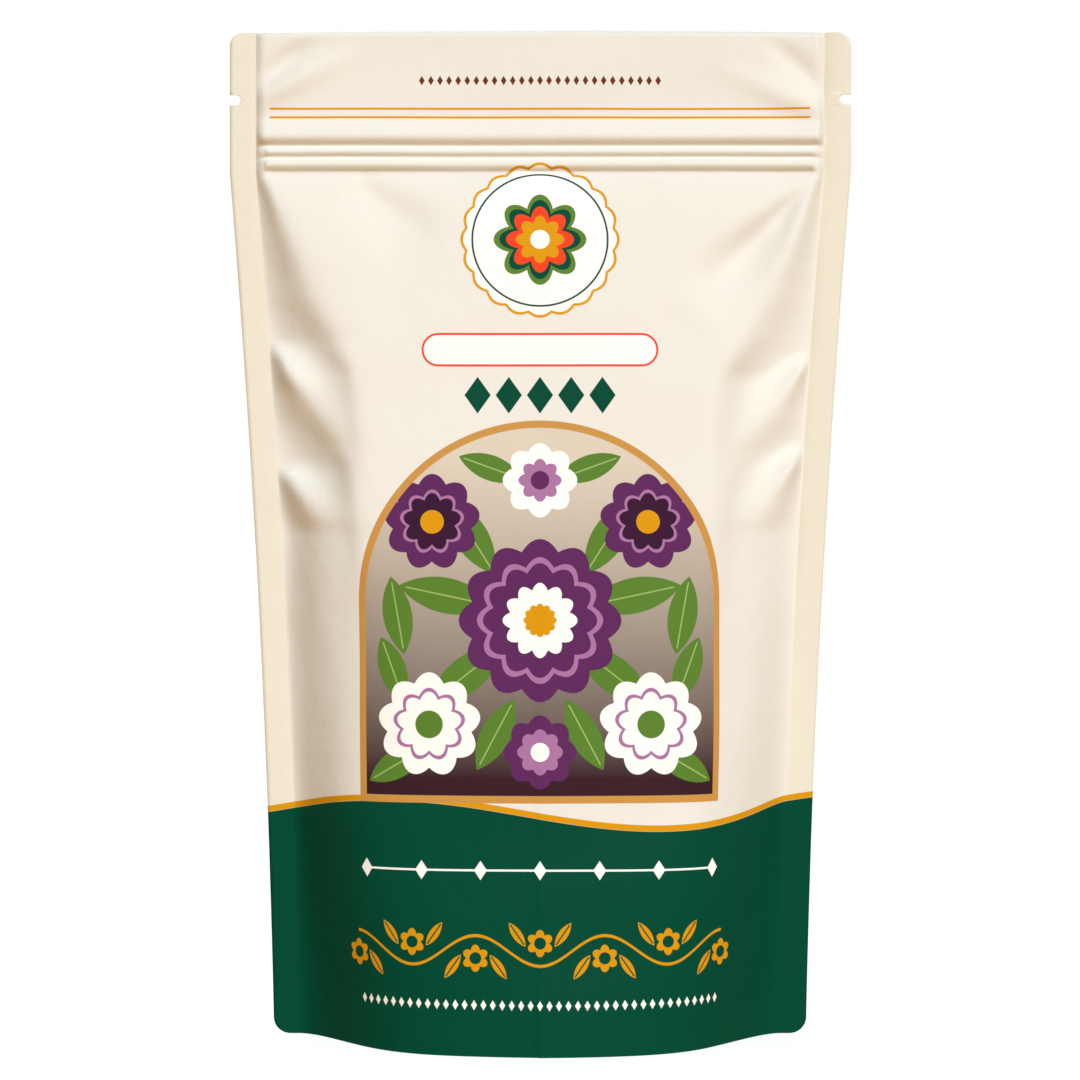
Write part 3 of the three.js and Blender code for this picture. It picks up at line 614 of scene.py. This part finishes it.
def gusset_piece(name):
    """The gusset as a strip: up the front weld, across the floor and down the back weld, one grid row
    for each step of that path, turned to face the table. Its welds lie just inside the panels: less
    both films' thickness and a hair of air, each measured square to the panel's slope."""
    k = np.linspace(-1, 1, 121)
    s = np.concatenate([[-2, -1.5], np.sin(np.pi / 2 * k), [1.5, 2]])
    climb = np.linspace(0, 1, 12)[:-1]
    b = np.concatenate([-np.ones(11), np.linspace(-1, 1, 41), np.ones(11)])
    share = np.concatenate([climb, np.ones(41), climb[::-1]])
    s, b = np.meshgrid(s, b)
    share = np.repeat(share[:, None], s.shape[1], axis=1)
    t = np.clip(np.abs(s), 0, 1)
    z = share * gusset_height(t, b)
    weld_z = share * gusset_height(t, 1)
    seal_edge = half_width(z) - SIDE_SEAL
    over = np.clip(np.abs(s) - 1, 0, 1)
    x = np.where(over > 0, np.sign(s) * (seal_edge + over * (cut_edge(z) - seal_edge)), s * seal_edge)
    depth = np.where(b < 0, film_depth(s, x, weld_z, FRONT_LEFT, FRONT_RIGHT),
                     film_depth(s, x, weld_z, BACK_LEFT, BACK_RIGHT))
    slope = np.gradient(depth, axis=1) / np.gradient(x, axis=1) * (np.abs(s) < 1)
    depth = depth - (FILM + GUSSET_FILM + GUSSET_GAP) * np.sqrt(1 + slope**2)
    grid = np.stack([x, b * np.maximum(depth, LEAST_DEPTH), z], -1)
    across, along = np.gradient(grid, axis=1), np.gradient(grid, axis=0)
    normal = np.cross(across, along)
    normal /= np.linalg.norm(normal, axis=-1, keepdims=True)
    normal[[0, -1], :, 2] = 0
    film = np.stack([x, z, b], -1)
    return sheet_piece(name, grid, grid - GUSSET_FILM * normal, film)


# The same varnished laminate in one flood of green: dark and matte, with the panels' crinkle.
base_film, tree, shader = new_material("base_laminate")
laminate_finish(tree, shader)
shader.inputs["Base Color"].default_value = BASE_GREEN
gusset = gusset_piece("bottom_gusset_film")
gusset.data.materials.append(base_film)
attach(gusset, "root")
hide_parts("bottom_gusset")


# Zip strips.
# Two strips of extruded polyethylene, one welded inside each panel just below the header. The ribs of
# the front one press into the jaws of the back one.
LINE_LENGTH, LINE_WIDTH = 25, 0.25
# Natural polyethylene is milky white with a soft sheen, and keeps fine lines along the way it was drawn.
zip_plastic, tree, shader = new_material("extruded_polyethylene")
place = add(tree, "TexCoord", {}, out="Object")
lines_a_metre = (1000 / LINE_LENGTH, 1000 / LINE_WIDTH, 1000 / LINE_WIDTH)
drawn = add(tree, "Mapping", {"Vector": place, "Scale": lines_a_metre})
lines = add(tree, "TexNoise", {"Vector": drawn, "Scale": 1.0, "Detail": 2.0})
bump = add(tree, "Bump", {"Strength": 0.2, "Distance": 0.0001, "Height": lines})
tree.links.new(bump, shader.inputs["Normal"])
shader.inputs["Base Color"].default_value = linear("#f4f2ec")
shader.inputs["Roughness"].default_value = 0.35
shader.inputs["IOR"].default_value = 1.51
for strip in ("zip_rib_strip", "zip_jaw_strip"):
    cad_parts[strip].data.materials.clear()
    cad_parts[strip].data.materials.append(zip_plastic)


# Seeds.
# A loose heap of dry round seeds, poured in before the top is welded, which fills the pouch to a little
# over half its height and rounds it out.
SEED = 1.923
# A dry seed coat is dull and brown, and its tone changes from seed to seed, each about 1.9 mm across.
seed_coat, tree, shader = new_material("dry_seed_coat")
place = add(tree, "TexCoord", {}, out="Object")
cells = add(tree, "TexVoronoi", {"Vector": place, "Scale": 1000 / SEED}, out="Color")
tone = add(tree, "SeparateColor", {0: cells})
colour = add(tree, "Mix", {0: tone, 6: linear("#4a2a20"), 7: linear("#8a5a3c")}, out=2, data_type="RGBA")
tree.links.new(colour, shader.inputs["Base Color"])
shader.inputs["Roughness"].default_value = 0.6
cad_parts["seed_fill"].data.materials.clear()
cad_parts["seed_fill"].data.materials.append(seed_coat)


# Studio.
# A pale floor under soft light: a broad cool key from above the right front, a like lamp from behind the
# left, and a pale room, white behind the pouch, dim overhead and warm below, where the floor's own light
# would come from. The floor is kept out of the bounce light, and the lamps throw no shadow.
FLOOR_HALF = 60
floor_mesh = bpy.data.meshes.new("studio_floor")
corners = [(x * FLOOR_HALF, y * FLOOR_HALF, 0) for x, y in ((-1, -1), (1, -1), (1, 1), (-1, 1))]
floor_mesh.from_pydata(corners, [], [(0, 1, 2, 3)])
floor = bpy.data.objects.new("studio_floor", floor_mesh)
bpy.context.scene.collection.objects.link(floor)
floor.visible_diffuse, floor.visible_glossy = False, False
# Uncoated sweep paper: an even white with no gloss.
paper, tree, shader = new_material("white_sweep_paper")
shader.inputs["Base Color"].default_value = linear("#f2f2f2")
shader.inputs["Roughness"].default_value = 0.9
floor_mesh.materials.append(paper)

# Where the world's zones begin and are full, as the upward or backward share of a line of sight.
OVERHEAD_FROM, OVERHEAD_FULL, OVERHEAD = 0.215, 0.305, 0.1
UNDER_FULL, UNDER_FROM = -0.06, -0.01
BACKDROP_FROM, BACKDROP_FULL = 0.6, 0.85
ROOM, BACKDROP, FLOOR_GLOW = (0.92, 0.87, 0.8, 1), (1, 1, 1, 1), (0.43, 0.2, 0.0, 1)
world = bpy.data.worlds.new("studio_world")
world.use_nodes = True
tree = world.node_tree
sky = add(tree, "TexCoord", {}, out="Generated")
ahead, level = (add(tree, "SeparateXYZ", {0: sky}, out=axis) for axis in (1, 2))
above = add(tree, "MapRange", {0: level, 1: OVERHEAD_FROM, 2: OVERHEAD_FULL, 3: 1.0, 4: OVERHEAD})
below = add(tree, "MapRange", {0: level, 1: UNDER_FULL, 2: UNDER_FROM})
backdrop = add(tree, "MapRange", {0: ahead, 1: BACKDROP_FROM, 2: BACKDROP_FULL})
room = add(tree, "Mix", {0: backdrop, 6: ROOM, 7: BACKDROP}, out=2, data_type="RGBA")
glow = add(tree, "Mix", {0: below, 6: FLOOR_GLOW, 7: room}, out=2, data_type="RGBA")
background = tree.nodes["Background"]
tree.links.new(glow, background.inputs["Color"])
tree.links.new(above, background.inputs["Strength"])
bpy.context.scene.world = world

LAMP_SPREAD = 0.5
for name, watts, tint, towards in (("key", 3.08, (0.874, 0.939, 1), (-0.24, 0.845, -0.48)),
                                   ("back_fill", 3.0, (1, 1, 1), (0.3, -0.75, -0.6))):
    lamp = bpy.data.objects.new(name, bpy.data.lights.new(name, "SUN"))
    lamp.data.color = tint
    lamp.data.energy, lamp.data.angle, lamp.data.use_shadow = watts, LAMP_SPREAD, False
    lamp.rotation_euler = Vector(towards).to_track_quat("-Z", "Y").to_euler()
    bpy.context.scene.collection.objects.link(lamp)

CAMERA_DISTANCE, CAMERA_HEIGHT, LENS, SENSOR = 0.532, 0.1033, 84.6, 36
camera = bpy.data.objects.new("camera", bpy.data.cameras.new("camera"))
camera.location = (0, -CAMERA_DISTANCE, CAMERA_HEIGHT)
camera.rotation_euler = (np.pi / 2, 0, 0)
camera.data.lens, camera.data.sensor_width = LENS, SENSOR
camera.data.clip_start = 0.01
bpy.context.scene.collection.objects.link(camera)
bpy.context.scene.camera = camera
bpy.context.scene.view_settings.view_transform = "Standard"
